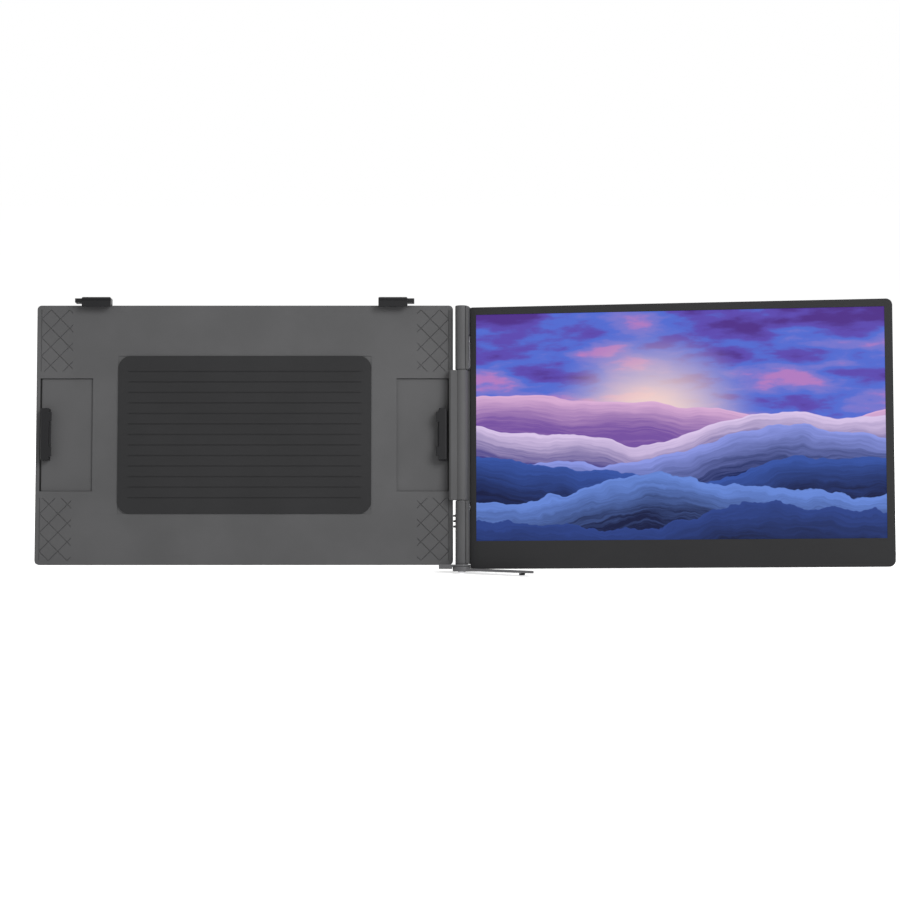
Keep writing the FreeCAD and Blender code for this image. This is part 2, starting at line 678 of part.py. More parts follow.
def hinge_shaft(word, low, high, nut_at, up):
    """Steel shaft, its spring washers and lock nut. They stay with the bracket."""
    drum(word + "_shaft", ON_BRACKET, low, high, s.shaft_radius)
    solids = []
    bore = s.shaft_radius.value / math.cos(math.pi / s.hidden_sides.value)
    for count in range(int(s.washer_count.value)):
        start = nut_at + up * count * s.washer_pitch
        spot = Vector(hinge_x.value, hinge_y.value, start.value)
        thick = up * s.washer_thick.value
        ring = prism(spot, "z", thick, s.nut_radius.value, s.hidden_sides)
        solids.append(ring.cut(prism(spot, "z", thick, bore, s.hidden_sides)))
    solids_part(word + "_spring_washers", ON_BRACKET, solids)
    start = nut_at + up * s.washer_count * s.washer_pitch
    spot = Vector(hinge_x.value, hinge_y.value, start.value)
    height = up * s.nut_height.value
    nut = prism(spot, "z", height, s.nut_radius.value, as_size(6))
    hole = Part.makeCylinder(s.shaft_radius.value, abs(height), spot, Vector(0, 0, up))
    piece = doc.addObject("Part::Feature", word + "_lock_nut")
    piece.Shape = nut.cut(hole)
    keep(piece, word + "_lock_nut", ON_BRACKET)


def barrel(word, low, high, bore_low, bore_high, leaf_low, leaf_high, up):
    """A turning barrel of the screen: cover, cap, and the steel leaf that grips the shaft."""
    cover = drum(word + "_barrel", ON_SCREEN, low, high, s.barrel_radius)
    front = hinge_y - s.lip_front
    lip_left = screen_left - s.lip_width
    web_left = hinge_x + s.web_inset
    seam = screen_left - s.seam_gap
    seam_back = s.bezel_thick + s.seam_gap
    pad(cover, "z", low, high,
        lambda sketch: outline(sketch, [(lip_left, front), (seam, front), (seam, seam_back),
                                        (screen_left, seam_back), (screen_left, screen_back),
                                        (web_left, screen_back), (web_left, hinge_y),
                                        (lip_left, hinge_y)]))
    pocket(cover, "z", low, high,
           lambda sketch: rectangle(sketch, lip_left - s.column_groove, lip_left,
                                    hinge_y - s.barrel_radius, front + s.groove_reach))
    pocket(cover, "z", bore_low, bore_high,
           lambda sketch: circle(sketch, hinge_x, hinge_y, s.bore_radius))
    pocket(cover, "z", low, high,
           lambda sketch: circle(sketch, hinge_x, hinge_y, s.shaft_radius + s.fit_gap))
    neck = hinge_x + s.leaf_inset
    gap = s.fit_gap
    pocket(cover, "z", leaf_low - gap, leaf_high + gap,
           lambda sketch: rectangle(sketch, neck - gap, screen_left, hinge_y, shell_floor + gap))
    leaf = drum(word + "_leaf", ON_SCREEN, leaf_low, leaf_high, s.bore_radius - gap)
    pad(leaf, "z", leaf_low, leaf_high,
        lambda sketch: rectangle(sketch, neck, neck + s.leaf_thick, hinge_y, shell_floor))
    pad(leaf, "z", leaf_low, leaf_high,
        lambda sketch: rectangle(sketch, neck, neck + s.leaf_length, shell_floor - s.leaf_thick,
                                 shell_floor))
    pocket(leaf, "z", leaf_low, leaf_high,
           lambda sketch: circle(sketch, hinge_x, hinge_y, s.shaft_radius + s.shaft_clear))
    start = high if up > 0 else low - s.cap_thick
    cap = drum(word + "_end_cap", ON_SCREEN, start, start + s.cap_thick, s.barrel_radius)
    plug = high - s.cap_plug if up > 0 else low
    pad(cap, "z", plug, plug + s.cap_plug,
        lambda sketch: many_sided(sketch, hinge_x, hinge_y, s.bore_radius, s.hidden_sides))
    edge = (start + s.cap_thick).value if up > 0 else start.value
    names = [("Edge%d" % number) for number, item in enumerate(cap.Tip.Shape.Edges, start=1)
             if all(same(v.Point.z, edge) for v in item.Vertexes)]
    bevel = cap.newObject("PartDesign::Chamfer", cap.Name + "_bevel")
    bevel.Base = (cap.Group[-2], names)
    bevel.setExpression("Size", (s.cap_thick / 2).text)
    doc.recompute()
    return cover


def hinge_column():
    """Both turning barrels with all that they hold."""
    upper_high = s.barrel_top
    upper_bore = upper_barrel_low + s.barrel_wall
    leaf_high = upper_leaf_low + s.upper_leaf_height
    barrel("upper", upper_barrel_low, upper_high, upper_bore, upper_high, upper_leaf_low,
           leaf_high, 1)
    hinge_shaft("upper", s.knuckle_top - s.shaft_root, s.knuckle_top + s.upper_shaft_reach,
                leaf_high + s.nut_play, 1)
    lower_low = -s.barrel_bottom
    lower_bore = lower_barrel_high - s.barrel_wall
    leaf_low = lower_leaf_high - s.lower_leaf_height
    cover = barrel("lower", lower_low, lower_barrel_high, lower_low, lower_bore, leaf_low,
                   lower_leaf_high, -1)
    drum("lower_shaft", ON_BRACKET, -(s.knuckle_bottom + s.lower_shaft_reach),
         -s.knuckle_bottom + s.shaft_root, s.shaft_radius)
    words = ("power_button", "up_button", "down_button")
    heights = [-(s.button_first + count * s.button_pitch) for count in range(len(words))]
    for up in heights:
        bore = new_sketch(cover, "x", hinge_x)
        many_sided(bore, hinge_y, up, s.button_radius + s.button_gap, s.button_sides)
        hole = cover.newObject("PartDesign::Pocket", "button_hole")
        hole.Profile = bore
        hole.setExpression("Length", s.barrel_radius.text)
        doc.recompute()
    tip = hinge_x - s.barrel_radius - s.button_proud
    seat = hinge_x - s.bore_radius + 2 * s.button_play
    seat_back = seat + s.button_seat
    for word, up in zip(words, heights):
        button = new_body(word, ON_SCREEN)
        pad(button, "x", tip, seat + s.overlap,
            lambda sketch: many_sided(sketch, hinge_y, up, s.button_radius, s.button_sides))
        pad(button, "x", seat, seat_back,
            lambda sketch: many_sided(sketch, hinge_y, up, s.button_flange, s.button_sides))
        dress(button, "Chamfer", s.button_radius / 3,
              lambda a, b: same(a.x, tip.value) and same(b.x, tip.value))
    board = seat_back + s.button_travel + s.switch_play
    half = s.switch_half
    slab("button_board", ON_SCREEN, "x", board, board + s.switch_board,
         (hinge_y - half, hinge_y + half, heights[-1] - s.button_radius - s.switch_margin,
          heights[0] + s.button_radius + s.switch_margin))


# Screen

def port_spots():
    """Height of each socket and its width along the edge."""
    top = -(s.port_centre - s.port_pitch)
    return [(top, s.usb_width), (top - s.port_pitch, s.usb_width),
            (top - 2 * s.port_pitch, s.hdmi_width)]


port_back = shell_floor - s.fit_gap
port_front = port_back - s.usb_height


def rear_shell():
    """The tray behind the panel: sockets, speaker slots and the spine behind the knuckle."""
    box = (screen_left, screen_right, -s.screen_bottom, s.screen_top)
    body = slab("rear_shell", ON_SCREEN, "y", s.bezel_thick, screen_back, box)
    right = screen_right.value
    left = screen_left.value
    dress(body, "Fillet", s.screen_corner, lambda a, b: along("y", a, b) and same(a.x, right))
    dress(body, "Fillet", s.screen_inner_corner,
          lambda a, b: along("y", a, b) and same(a.x, left))
    rear = screen_back.value
    dress(body, "Chamfer", s.shell_edge, lambda a, b: same(a.y, rear) and same(b.y, rear)
          and not (same(a.x, left) and same(b.x, left)))
    wall = s.shell_wall
    pocket(body, "y", s.bezel_thick, shell_floor,
           lambda sketch: rectangle(sketch, screen_left + wall, screen_right - wall,
                                    -s.screen_bottom + wall, s.screen_top - wall))
    for up, width in port_spots():
        half = width / 2 + s.port_gap
        pocket(body, "x", screen_right - wall, screen_right,
               lambda sketch: rectangle(sketch, port_front - s.port_gap, port_back + s.fit_gap / 2,
                                        up - half, up + half))
    gap = s.fit_gap
    for low, high in ((upper_leaf_low, upper_leaf_low + s.upper_leaf_height),
                      (lower_leaf_high - s.lower_leaf_height, lower_leaf_high)):
        pocket(body, "x", screen_left, screen_left + wall,
               lambda sketch: rectangle(sketch, shell_floor - s.leaf_thick - gap, shell_floor,
                                        low - gap, high + gap))
    for side in (0, 1):
        centre = speaker_centre(side)

        def slots(sketch):
            first = centre - s.grille_pitch * (s.grille_slots - 1) / 2
            for count in range(int(s.grille_slots.value)):
                middle = first + s.grille_pitch * count
                rectangle(sketch, middle - s.grille_width / 2, middle + s.grille_width / 2,
                          speaker_up - s.grille_length / 2, speaker_up + s.grille_length / 2)

        pocket(body, "y", shell_floor, screen_back, slots)
    pad(body, "z", lower_barrel_high, upper_barrel_low,
        lambda sketch: rectangle(sketch, hinge_x + s.spine_inset, screen_left + s.overlap,
                                 s.bezel_thick + s.seam_gap, screen_back - s.spine_back))


speaker_up = -s.screen_bottom + s.shell_wall + s.speaker_gap + s.speaker_height / 2


def speaker_centre(side):
    """Middle of the left or right speaker."""
    if side == 0:
        return screen_left + s.speaker_inset
    return screen_right - s.speaker_inset


def screen_parts():
    """Bezel, panel stack, boards, sockets and speakers."""
    box = (screen_left, screen_right, -s.screen_bottom, s.screen_top)
    bezel = slab("screen_bezel", ON_SCREEN, "y", 0, s.bezel_thick, box)
    right, left = screen_right.value, screen_left.value
    dress(bezel, "Fillet", s.screen_corner, lambda a, b: along("y", a, b) and same(a.x, right))
    dress(bezel, "Fillet", s.screen_inner_corner,
          lambda a, b: along("y", a, b) and same(a.x, left))
    dress(bezel, "Chamfer", s.bezel_thick / 3, lambda a, b: same(a.y, 0) and same(b.y, 0))
    pocket(bezel, "y", 0, s.bezel_thick,
           lambda sketch: rectangle(sketch, active_left, active_right, active_bottom, active_top))
    over = s.glass_overlap
    stack = (active_left - over, active_right + over, active_bottom - over, active_top + over)
    slab("lcd_panel", ON_SCREEN, "y", s.bezel_thick, glass_back, stack)
    slab("backlight_unit", ON_SCREEN, "y", glass_back, light_back, stack)
    slab("panel_frame", ON_SCREEN, "y", light_back, frame_back, stack)
    socket_left = screen_right - s.usb_length
    board_back = frame_back + s.board_thick
    middle = port_spots()[1][0]
    slab("driver_board", ON_SCREEN, "y", frame_back, board_back,
         (socket_left - s.board_length, socket_left, middle - s.board_height / 2,
          middle + s.board_height / 2))
    for word, (up, width) in zip(("upper_usb_c_port", "lower_usb_c_port", "mini_hdmi_port"),
                                 port_spots()):
        mouth = screen_right - s.port_recess
        port = slab(word, ON_SCREEN, "x", socket_left, mouth,
                    (port_front, port_back, up - width / 2, up + width / 2))
        dress(port, "Fillet", s.usb_round if "usb" in word else s.hdmi_round,
              lambda a, b: along("x", a, b))
        wall = s.port_wall
        pocket(port, "x", socket_left + s.port_floor, mouth,
               lambda sketch: rectangle(sketch, port_front + wall, port_back - wall,
                                        up - width / 2 + wall, up + width / 2 - wall))
    slab("display_cable", ON_SCREEN, "y", frame_back, frame_back + s.cable_thick,
         (screen_left + s.leaf_length, socket_left - s.board_length, middle - s.cable_width / 2,
          middle + s.cable_width / 2))
    for side, word in ((0, "left_speaker"), (1, "right_speaker")):
        centre = speaker_centre(side)
        slab(word, ON_SCREEN, "y", shell_floor - s.speaker_thick, shell_floor,
             (centre - s.speaker_width / 2, centre + s.speaker_width / 2,
              speaker_up - s.speaker_height / 2, speaker_up + s.speaker_height / 2))


# Stand leg

def stand():
    """Bracket under the hinge, pivot pin, swinging leg and its rubber foot."""
    left = half_width - s.stand_left
    back = bracket_back - s.stand_back
    plate = drum("stand_bracket", ON_BRACKET, stand_bottom, stand_top, s.ear_radius)
    pad(plate, "z", stand_bottom, stand_top,
        lambda sketch: outline(sketch, [(left, -s.knuckle_face), (hinge_x, -s.knuckle_face),
                                        (hinge_x, hinge_y), (half_width, back), (left, back)]))
    pad(plate, "z", arm_top + s.leg_gap, stand_bottom,
        lambda sketch: rectangle(sketch, left, hinge_x - s.ear_radius - s.ear_clear,
                                 -s.knuckle_face, back))
    pocket(plate, "z", stand_bottom, stand_top,
           lambda sketch: circle(sketch, hinge_x, hinge_y, s.pin_radius))
    pin = drum("leg_pivot_pin", ON_BRACKET, arm_bottom - s.leg_gap, stand_top, s.pin_radius)
    pad(pin, "z", arm_bottom - s.leg_gap - s.pin_head_height, arm_bottom - s.leg_gap,
        lambda sketch: many_sided(sketch, hinge_x, hinge_y, s.pin_head, s.hidden_sides))
    leg = drum("stand_leg", ON_LEG, arm_bottom, boss_top, s.ear_radius)
    flat = hinge_x + s.leg_flat
    tip = hinge_x + s.leg_length
    half = s.leg_half
    pad(leg, "y", hinge_y - half, hinge_y + half,
        lambda sketch: outline(sketch, [(hinge_x, arm_bottom), (flat, arm_bottom),
                                        (tip, arm_bottom - s.leg_drop),
                                        (tip, arm_top - s.leg_drop), (flat, arm_top),
                                        (hinge_x, arm_top)]))
    narrow = s.leg_tip_width / 2
    root = hinge_x + s.ear_radius
    for side in (1, -1):
        near = hinge_y + side * half
        far = hinge_y + side * narrow
        beyond = hinge_y + side * (half + s.cut_spare)
        past = tip + s.cut_spare
        pocket(leg, "z", arm_bottom - s.leg_drop - s.cut_spare, arm_top,
               lambda sketch: outline(sketch, [(root, near), (tip, far), (past, far),
                                               (past, beyond), (root, beyond)]))
    end = tip.value
    dress(leg, "Fillet", s.leg_tip_round,
          lambda a, b: along("z", a, b) and same(a.x, end))
    pocket(leg, "z", arm_bottom, boss_top,
           lambda sketch: circle(sketch, hinge_x, hinge_y, s.pin_radius + s.shaft_clear))
    run = (s.foot_place - s.leg_flat - s.foot_radius) / (s.leg_length - s.leg_flat)
    foot_top = arm_bottom - run * s.leg_drop
    centre = (hinge_x + s.foot_place, hinge_y)
    foot_high = foot_top - s.foot_drop
    drum("leg_foot", ON_LEG, foot_high - s.foot_height, foot_high, s.foot_radius, centre)


front_panel()
rear_cover()
lid_pad()
side_guides()
top_guides()
bracket_screws()
for side, word in ((-1, "left"), (1, "right")):
    side_clamp(side, word)
    top_clip(side, word)
knuckle()
hinge_column()
rear_shell()
screen_parts()
stand()
doc.recompute()

# Nothing is written unless every object is sound.
for item in doc.Objects:
    if "Invalid" in item.State or "Error" in item.State:
        raise ValueError("%s did not compute" % item.Label)
os.makedirs("parts", exist_ok=True)
for piece in sub_parts:
    shape = piece.Shape
    if shape.isNull() or not shape.isValid():
        raise ValueError("%s has no sound shape" % piece.Label)
    shape.exportStep("parts/%s.step" % piece.Label)
    print(piece.Label, len(shape.Solids), round(shape.Volume, 1))
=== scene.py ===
import json
import math

import bmesh
import bpy
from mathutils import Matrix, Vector

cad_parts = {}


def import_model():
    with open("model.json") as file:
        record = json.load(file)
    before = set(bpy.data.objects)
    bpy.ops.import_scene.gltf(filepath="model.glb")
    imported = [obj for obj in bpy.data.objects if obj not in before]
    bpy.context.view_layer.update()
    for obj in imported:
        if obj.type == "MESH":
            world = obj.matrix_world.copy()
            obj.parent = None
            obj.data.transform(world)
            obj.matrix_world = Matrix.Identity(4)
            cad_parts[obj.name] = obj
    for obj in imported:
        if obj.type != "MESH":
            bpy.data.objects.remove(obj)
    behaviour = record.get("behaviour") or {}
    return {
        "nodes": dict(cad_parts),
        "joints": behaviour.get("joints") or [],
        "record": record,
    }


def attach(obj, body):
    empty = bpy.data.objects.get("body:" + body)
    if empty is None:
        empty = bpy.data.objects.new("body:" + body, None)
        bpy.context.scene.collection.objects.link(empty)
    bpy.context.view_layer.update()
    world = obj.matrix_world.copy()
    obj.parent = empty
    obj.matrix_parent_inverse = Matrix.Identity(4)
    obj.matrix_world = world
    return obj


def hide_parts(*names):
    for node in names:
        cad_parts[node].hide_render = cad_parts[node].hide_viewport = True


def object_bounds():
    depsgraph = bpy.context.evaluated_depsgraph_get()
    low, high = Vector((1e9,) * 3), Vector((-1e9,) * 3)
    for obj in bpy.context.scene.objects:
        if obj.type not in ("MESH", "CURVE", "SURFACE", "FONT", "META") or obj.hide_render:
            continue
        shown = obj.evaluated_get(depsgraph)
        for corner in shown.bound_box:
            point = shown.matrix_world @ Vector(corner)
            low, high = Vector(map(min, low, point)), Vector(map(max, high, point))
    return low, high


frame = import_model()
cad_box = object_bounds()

MM = 0.001
WHITE = (1.0, 1.0, 1.0)
BLACK = (0.0, 0.0, 0.0)
# Corners of a square about its middle, in order.
SQUARE = ((-1, -1), (1, -1), (1, 1), (-1, 1))
BODY_OF = {node: body for body, nodes in frame["record"]["behaviour"]["bodies"].items()
           for node in nodes}
SLOT_OF = {part["node"]: part["material_slot"] for part in frame["record"]["subparts"]}
JOINTS = {joint["name"]: joint for joint in frame["joints"]}
UP = Vector(JOINTS["screen_fold"]["axis"]).normalized()
ACROSS_SCREEN = Vector(JOINTS["power_button_press"]["axis"]).normalized()
RIGHT = Vector((1.0, 0.0, 0.0))
BACK = UP.cross(RIGHT)
BACK_OF_SCREEN = UP.cross(ACROSS_SCREEN)


# Measures of the solids

def points_of(node):
    """The points of a node's solids."""
    return [vertex.co for vertex in frame["nodes"][node].data.vertices]


def reach(points, axis):
    """Least and greatest place of some points along an axis."""
    places = [point.dot(axis) for point in points]
    return min(places), max(places)


# Shader helpers

class Graph:
    """A small writer of node graphs."""

    def __init__(self, tree):
        self.tree = tree
        tree.nodes.clear()

    def node(self, kind, **settings):
        """A node with its plain settings."""
        made = self.tree.nodes.new(kind)
        for key, value in settings.items():
            setattr(made, key, value)
        return made

    def feed(self, socket, value):
        """Links a socket to a value, or sets it to a number or colour."""
        if isinstance(value, bpy.types.NodeSocket):
            self.tree.links.new(value, socket)
        else:
            socket.default_value = value

    def math(self, operation, *values):
        """One scalar operation."""
        made = self.node("ShaderNodeMath", operation=operation)
        for socket, value in zip(made.inputs, values):
            self.feed(socket, value)
        return made.outputs[0]

    def dot(self, vector, axis):
        """The reach of a point along an axis."""
        made = self.node("ShaderNodeVectorMath", operation="DOT_PRODUCT")
        self.feed(made.inputs[0], vector)
        made.inputs[1].default_value = axis
        return made.outputs["Value"]

    def smooth(self, value, low, high):
        """A smooth step from 0 at low to 1 at high."""
        made = self.node("ShaderNodeMapRange", interpolation_type="SMOOTHSTEP")
        self.feed(made.inputs["Value"], value)
        made.inputs["From Min"].default_value = low
        made.inputs["From Max"].default_value = high
        return made.outputs["Result"]

    def noise(self, vector, scale, detail=3.0, rough=0.5):
        """A grey noise value."""
        made = self.node("ShaderNodeTexNoise")
        self.feed(made.inputs["Vector"], vector)
        made.inputs["Scale"].default_value = scale
        made.inputs["Detail"].default_value = detail
        made.inputs["Roughness"].default_value = rough
        return made.outputs["Fac"]

    def mix(self, share, first, second):
        """A blend of two colours."""
        made = self.node("ShaderNodeMix", data_type="RGBA")
        self.feed(made.inputs["Factor"], share)
        self.feed(made.inputs[6], first)
        self.feed(made.inputs[7], second)
        return made.outputs[2]

    def object_spot(self):
        """Object coordinates."""
        return self.node("ShaderNodeTexCoord").outputs["Object"]

    def stretched(self, vector, scale):
        """A place, scaled along each axis."""
        made = self.node("ShaderNodeMapping")
        self.feed(made.inputs["Vector"], vector)
        made.inputs["Scale"].default_value = scale
        return made.outputs["Vector"]

    def joined(self, *values):
        """A place made of two or three values."""
        made = self.node("ShaderNodeCombineXYZ")
        for socket, value in zip(made.inputs, values):
            self.feed(socket, value)
        return made.outputs[0]

    def bump(self, height, strength, distance):
        """A normal from a height."""
        made = self.node("ShaderNodeBump")
        self.feed(made.inputs["Height"], height)
        made.inputs["Strength"].default_value = strength
        made.inputs["Distance"].default_value = distance
        return made.outputs["Normal"]

    def show(self, kind, shader):
        """Leads a shader to the graph's output."""
        self.feed(self.node(kind).inputs["Surface"], shader.outputs[0])


def rgba(colour):
    """A colour with full cover."""
    return (*colour, 1.0)


def new_material(name):
    """A material and the empty graph of its nodes."""
    material = bpy.data.materials.new(name)
    material.use_nodes = True
    return material, Graph(material.node_tree)


DRIFT_SCALE = 14.0
DRIFT_DETAIL = 4.0
DRIFT_SPAN = (0.3, 0.7)
GRAIN_DETAIL = 2.0
GRAIN_STRENGTH = 0.35


def surface(name, colour, rough, rough_spread=0.06, tone_spread=0.08, grain=3000.0,
            grain_depth=0.00004, metallic=0.0, specular=0.5, stretch=(1.0, 1.0, 1.0), coat=0.0):
    """A moulded or metal surface: fine grain, drifting tone and uneven gloss."""
    material, graph = new_material(name)
    spot = graph.stretched(graph.object_spot(), stretch)
    drift = graph.noise(spot, DRIFT_SCALE, DRIFT_DETAIL)
    fine = graph.noise(spot, grain, GRAIN_DETAIL)
    shader = graph.node("ShaderNodeBsdfPrincipled")
    dark = tuple(part * (1.0 - tone_spread) for part in colour)
    pale = tuple(part * (1.0 + tone_spread) for part in colour)
    graph.feed(shader.inputs["Base Color"],
               graph.mix(graph.smooth(drift, *DRIFT_SPAN), rgba(dark), rgba(pale)))
    smear = graph.math("MULTIPLY_ADD", drift, rough_spread * 2.0, rough - rough_spread)
    graph.feed(shader.inputs["Roughness"],
               graph.math("MULTIPLY_ADD", fine, rough_spread, smear))
    graph.feed(shader.inputs["Normal"], graph.bump(fine, GRAIN_STRENGTH, grain_depth))
    shader.inputs["Metallic"].default_value = metallic
    shader.inputs["Specular IOR Level"].default_value = specular
    shader.inputs["Coat Weight"].default_value = coat
    graph.show("ShaderNodeOutputMaterial", shader)
    return material


def brushed(name, colour, rough, stretch=(1.0, 1.0, 1.0)):
    """Metal with fine grain, which a stretch draws out into lines."""
    return surface(name, colour, rough, rough_spread=0.08, tone_spread=0.06, grain=900.0,
                   grain_depth=0.00003, metallic=1.0, stretch=stretch)


# Wallpaper: layered dunes of light under a violet sky, drawn in the screen's own plane.

# Strip of the panel behind the bezel that stays dark.
HIDDEN_EDGE = 1.3 * MM
# Colours of the sky and their places on its ramp.
SKY = [((0.430, 0.190, 0.520), 0.26), ((0.170, 0.170, 0.600), 0.42), ((0.080, 0.140, 0.620), 0.56),
       ((0.100, 0.062, 0.420), 0.72), ((0.072, 0.024, 0.240), 0.92)]
SKY_RISE = 0.72
CLOUD_STRETCH = (1.0, 3.4, 1.0)
CLOUD_SCALE = 2.3
CLOUD_DETAIL = 7.0
CLOUD_CONTRAST = 1.9
GLOW = (1.0, 0.74, 0.60)
GLOW_CENTRE = (0.44, 0.50)
GLOW_REACH = 0.28
GLOW_FLATTEN = 0.62
GLOW_SHARE = 0.92
# Height of the crest, swing, waves across, phase, crest colour and foot colour of each layer.
DUNES = [
    (0.58, 0.060, 5.1, 0.6, (0.700, 0.420, 0.660), (0.170, 0.075, 0.340)),
    (0.49, 0.060, 6.7, 2.4, (0.700, 0.560, 0.820), (0.050, 0.040, 0.230)),
    (0.40, 0.070, 4.3, 4.1, (0.250, 0.300, 0.760), (0.004, 0.014, 0.100)),
    (0.31, 0.055, 7.3, 1.2, (0.030, 0.080, 0.360), (0.001, 0.005, 0.045)),
    (0.21, 0.060, 5.3, 5.3, (0.130, 0.240, 0.680), (0.001, 0.005, 0.045)),
    (0.10, 0.050, 6.1, 3.0, (0.020, 0.050, 0.240), (0.001, 0.003, 0.020)),
]
# The crest's second wave, against the first.
SECOND_WAVES = 2.3
SECOND_PHASE = 1.7
SECOND_SWING = 0.34
CREST_NOISE = 3.0
CREST_ROUGH = 0.10
CREST_BLUR = 0.004
# How far below its crest a dune takes its foot colour, and how much further each next one.
FADE_DEPTH = 0.16
FADE_STEP = 0.02
FADE_CURVE = 0.55
SILK_ACROSS = 3.0
SILK_DOWN = 34.0
SILK_SHIFT = 3.7
SILK_SCALE = 2.2
SILK_DETAIL = 5.0
SILK_ROUGH = 0.6
SILK_CONTRAST = 0.75
GLASS = (0.006, 0.006, 0.008)
GLASS_ROUGH = 0.42
GLASS_ROUGH_SPREAD = 0.06
GLASS_SPECULAR = 0.08
MOTTLE_SCALE = 2.6
MOTTLE_DETAIL = 6.0
MOTTLE_ROUGH = 0.55
PICTURE_GAIN = 1.0


def centred(graph, value):
    """A value that runs from 0 to 1, moved to run about 0."""
    return graph.math("SUBTRACT", value, 0.5)


def picture_place(graph):
    """Shares across and up the lit area, and a place on it in its true proportions."""
    spot = graph.object_spot()
    panel = points_of("lcd_panel")
    shares, sizes = [], []
    for axis in (ACROSS_SCREEN, UP):
        low, high = reach(panel, axis)
        size = high - low - 2 * HIDDEN_EDGE
        from_edge = graph.math("SUBTRACT", graph.dot(spot, axis), low + HIDDEN_EDGE)
        shares.append(graph.math("DIVIDE", from_edge, size))
        sizes.append(size)
    across, up = shares
    return across, up, graph.joined(graph.math("MULTIPLY", across, sizes[0] / sizes[1]), up)


def sky(graph, up, flat):
    """Streaked clouds, from pink low down to violet at the top."""
    wisps = graph.noise(graph.stretched(flat, CLOUD_STRETCH), CLOUD_SCALE, CLOUD_DETAIL)
    blurred = graph.math("MULTIPLY", centred(graph, wisps), CLOUD_CONTRAST)
    ramp = graph.node("ShaderNodeValToRGB")
    graph.feed(ramp.inputs[0], graph.math("ADD", graph.math("MULTIPLY", up, SKY_RISE), blurred))
    ramp.color_ramp.interpolation = "EASE"
    while len(ramp.color_ramp.elements) < len(SKY):
        ramp.color_ramp.elements.new(0.5)
    for element, (colour, spot_on_ramp) in zip(ramp.color_ramp.elements, SKY):
        element.position = spot_on_ramp
        element.color = rgba(colour)
    return ramp.outputs[0]


def glowing(graph, across, up, colour):
    """A colour with the warm light of the horizon over it."""
    run = graph.math("SUBTRACT", across, GLOW_CENTRE[0])
    rise = graph.math("MULTIPLY", graph.math("SUBTRACT", up, GLOW_CENTRE[1]), GLOW_FLATTEN)
    squares = [graph.math("POWER", side, 2.0) for side in (run, rise)]
    far = graph.math("SQRT", graph.math("ADD", *squares))
    warm = graph.math("SUBTRACT", 1.0, graph.smooth(far, 0.0, GLOW_REACH))
    return graph.mix(graph.math("MULTIPLY", warm, GLOW_SHARE), colour, rgba(GLOW))


def dune(graph, across, up, flat, index, colour):
    """A colour with one dune over it: a wavy crest, and silky lines down to its foot."""
    crest, swing, waves, phase, pale, deep = DUNES[index]
    first = graph.math("SINE", graph.math("MULTIPLY_ADD", across, waves, phase))
    second = graph.math("SINE", graph.math("MULTIPLY_ADD", across, waves * SECOND_WAVES,
                                           phase * SECOND_PHASE))
    rough = centred(graph, graph.noise(flat, CREST_NOISE + index))
    line = graph.math("MULTIPLY_ADD", first, swing, crest)
    line = graph.math("MULTIPLY_ADD", second, swing * SECOND_SWING, line)
    line = graph.math("MULTIPLY_ADD", rough, CREST_ROUGH, line)
    below = graph.math("SUBTRACT", line, up)
    cover = graph.smooth(below, 0.0, CREST_BLUR)
    depth = graph.smooth(below, 0.0, FADE_DEPTH + FADE_STEP * index)
    fade = graph.math("POWER", depth, FADE_CURVE)
    lines = graph.joined(graph.math("MULTIPLY", across, SILK_ACROSS),
                         graph.math("MULTIPLY", below, SILK_DOWN), index * SILK_SHIFT)
    silk = centred(graph, graph.noise(lines, SILK_SCALE, SILK_DETAIL, SILK_ROUGH))
    fade = graph.math("ADD", fade, graph.math("MULTIPLY", silk, SILK_CONTRAST))
    fade.node.use_clamp = True
    return graph.mix(cover, colour, graph.mix(fade, rgba(pale), rgba(deep)))


def picture():
    """The lit display: dunes of light in blue, violet and pink, with a warm glow."""
    material, graph = new_material("lit_display")
    across, up, flat = picture_place(graph)
    colour = glowing(graph, across, up, sky(graph, up, flat))
    for index in range(len(DUNES)):
        colour = dune(graph, across, up, flat, index, colour)
    inside = [graph.math("LESS_THAN", graph.math("ABSOLUTE", centred(graph, share)), 0.5)
              for share in (across, up)]
    shown = graph.mix(graph.math("MULTIPLY", *inside), rgba(BLACK), colour)
    mottle = graph.noise(flat, MOTTLE_SCALE, MOTTLE_DETAIL, MOTTLE_ROUGH)
    shader = graph.node("ShaderNodeBsdfPrincipled")
    shader.inputs["Base Color"].default_value = rgba(GLASS)
    graph.feed(shader.inputs["Roughness"],
               graph.math("MULTIPLY_ADD", mottle, GLASS_ROUGH_SPREAD, GLASS_ROUGH))
    shader.inputs["Specular IOR Level"].default_value = GLASS_SPECULAR
    graph.feed(shader.inputs["Emission Color"], shown)
    shader.inputs["Emission Strength"].default_value = PICTURE_GAIN
    graph.show("ShaderNodeOutputMaterial", shader)
    return material


